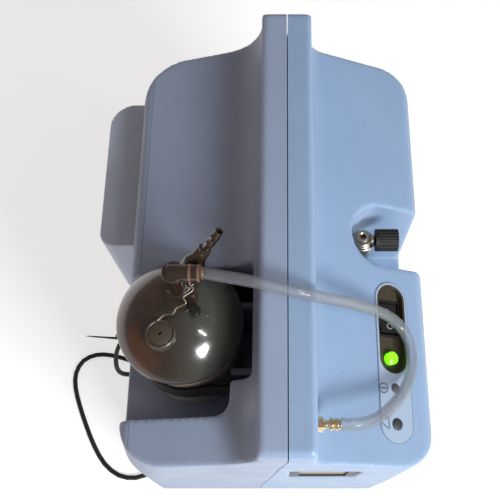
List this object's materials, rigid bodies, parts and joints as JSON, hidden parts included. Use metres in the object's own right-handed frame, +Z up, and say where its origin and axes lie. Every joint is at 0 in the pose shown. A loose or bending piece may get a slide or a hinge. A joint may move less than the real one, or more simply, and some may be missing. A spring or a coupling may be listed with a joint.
{
  "type": "veterinary anaesthesia gas machine",
  "caption": "Stationary oxygen concentrator on casters with a strapped humidifier bottle, flowmeter and clear gas tube, for a veterinary anaesthesia circuit.",
  "frame": {"origin": "on the floor under the middle of the body, cord left out", "axes": "+Z up, +Y towards the back with the bottle bay, X across the width"},
  "size_m": [0.4752, 0.4103, 0.556],
  "materials": {
    "shell_front": "fine satin texture",
    "shell_rear": "fine satin texture",
    "cover_grey": "fine satin texture",
    "pan_black": "moulded",
    "filter_grey": "moulded",
    "foam": "open-cell foam",
    "panel_grey": "printed film",
    "well_brown": "moulded",
    "switch_black": "gloss",
    "lamp_green": "lit lens",
    "button_grey": "moulded",
    "button_dark": "soft",
    "clear_body": "clear",
    "float_red": "gloss",
    "knob_black": "ribbed",
    "head_metal": "nickel over brass",
    "brass": "dull",
    "tube_clear": "clear",
    "jar_clear": "cloudy clear",
    "lid_smoke": "smoked gloss",
    "ring_pale": "gloss",
    "copper": "tarnished copper",
    "smoke_brown": "smoked",
    "steel": "zinc plated",
    "strap_black": "hook and loop",
    "white_plastic": "moulded",
    "cast_alloy": "cast",
    "mount_rubber": "moulded",
    "board_green": "lacquer",
    "cord_black": "satin",
    "pin_brass": "plated",
    "tyre_grey": "worn"
  },
  "bodies": {
    "machine": {"front_shell": "shell_front", "rear_shell": "shell_rear", "base_pan": "pan_black", "rear_cover": "cover_grey", "base_screws": "steel", "control_plate": "panel_grey", "switch_well": "well_brown", "switch_housing": "switch_black", "power_lamp": "lamp_green", "flowmeter_tube": "clear_body", "flowmeter_head": "head_metal", "outlet_fitting": "brass", "gas_tube": "tube_clear", "jar": "jar_clear", "jar_lid": "lid_smoke", "clamp_ring": "ring_pale", "valve_block": "smoke_brown", "inlet_nipple": "copper", "outlet_spigot": "smoke_brown", "relief_valve": "smoke_brown", "wire_clip": "steel", "dip_tube": "white_plastic", "diffuser": "white_plastic", "jar_strap": "strap_black", "strap_tail": "strap_black", "compressor_body": "cast_alloy", "compressor_heads": "cast_alloy", "compressor_mounts": "mount_rubber", "fan_shroud": "pan_black", "sieve_bed_front": "white_plastic", "sieve_bed_middle": "white_plastic", "product_tank": "white_plastic", "valve_manifold": "cast_alloy", "circuit_board": "board_green", "cooling_coil": "copper", "cord_gland": "cord_black", "power_cord": "cord_black", "cord_coil": "cord_black", "plug_body": "cord_black", "plug_pins": "pin_brass"},
    "rocker": {"rocker": "switch_black"},
    "reset_button": {"reset_button": "button_grey"},
    "mute_button": {"mute_button": "button_dark"},
    "flow_knob": {"flowmeter_knob": "knob_black"},
    "flow_float": {"flowmeter_float": "float_red"},
    "fan": {"fan_rotor": "pan_black"},
    "wing": {"wing_lever": "knob_black"},
    "filter": {"filter_frame": "filter_grey", "filter_foam": "foam"},
    "fork_fl": {"caster_fork_fl": "steel"},
    "wheel_fl": {"caster_wheel_fl": "tyre_grey"},
    "fork_fr": {"caster_fork_fr": "steel"},
    "wheel_fr": {"caster_wheel_fr": "tyre_grey"},
    "fork_rl": {"caster_fork_rl": "steel"},
    "wheel_rl": {"caster_wheel_rl": "tyre_grey"},
    "fork_rr": {"caster_fork_rr": "steel"},
    "wheel_rr": {"caster_wheel_rr": "tyre_grey"}
  },
  "joints": [
    {"name": "rocker_tilt", "type": "hinge", "parent": "machine", "child": "rocker", "pos_m": [-0.062, -0.10841, 0.44438], "axis": [0, 0.9171, 0.3987], "range_deg": [-16, 0]},
    {"name": "reset_press", "type": "slide", "parent": "machine", "child": "reset_button", "axis": [0, 0.3987, -0.9171], "range_m": [0, 0.0015], "stiffness_N_per_m": 400},
    {"name": "mute_press", "type": "slide", "parent": "machine", "child": "mute_button", "axis": [0, 0.3987, -0.9171], "range_m": [0, 0.002], "stiffness_N_per_m": 300},
    {"name": "knob_turn", "type": "hinge", "parent": "machine", "child": "flow_knob", "pos_m": [0.009, -0.105, 0.443], "axis": [0, -1, 0], "range_deg": [-360, 720]},
    {"name": "float_rise", "type": "slide", "parent": "machine", "child": "flow_float", "axis": [0, 0, 1], "range_m": [0, 0.07]},
    {"name": "fan_spin", "type": "hinge", "parent": "machine", "child": "fan", "pos_m": [-0.118, -0.02, 0.155], "axis": [1, 0, 0], "continuous": true},
    {"name": "wing_turn", "type": "hinge", "parent": "machine", "child": "wing", "pos_m": [-0.074, 0.0385, 0.513], "axis": [0, 0, 1], "range_deg": [-90, 45]},
    {"name": "filter_pull", "type": "slide", "parent": "machine", "child": "filter", "axis": [-1, 0, 0], "range_m": [0, 0.06]},
    {"name": "swivel_fl", "type": "hinge", "parent": "machine", "child": "fork_fl", "pos_m": [-0.125, -0.092, 0.055], "axis": [0, 0, 1], "continuous": true},
    {"name": "roll_fl", "type": "hinge", "parent": "fork_fl", "child": "wheel_fl", "pos_m": [-0.125, -0.076, 0.022], "axis": [1, 0, 0], "continuous": true},
    {"name": "swivel_fr", "type": "hinge", "parent": "machine", "child": "fork_fr", "pos_m": [0.125, -0.092, 0.055], "axis": [0, 0, 1], "continuous": true},
    {"name": "roll_fr", "type": "hinge", "parent": "fork_fr", "child": "wheel_fr", "pos_m": [0.125, -0.076, 0.022], "axis": [1, 0, 0], "continuous": true},
    {"name": "swivel_rl", "type": "hinge", "parent": "machine", "child": "fork_rl", "pos_m": [-0.125, 0.09, 0.055], "axis": [0, 0, 1], "continuous": true},
    {"name": "roll_rl", "type": "hinge", "parent": "fork_rl", "child": "wheel_rl", "pos_m": [-0.125, 0.106, 0.022], "axis": [1, 0, 0], "continuous": true},
    {"name": "swivel_rr", "type": "hinge", "parent": "machine", "child": "fork_rr", "pos_m": [0.125, 0.09, 0.055], "axis": [0, 0, 1], "continuous": true},
    {"name": "roll_rr", "type": "hinge", "parent": "fork_rr", "child": "wheel_rr", "pos_m": [0.125, 0.106, 0.022], "axis": [1, 0, 0], "continuous": true}
  ]
}
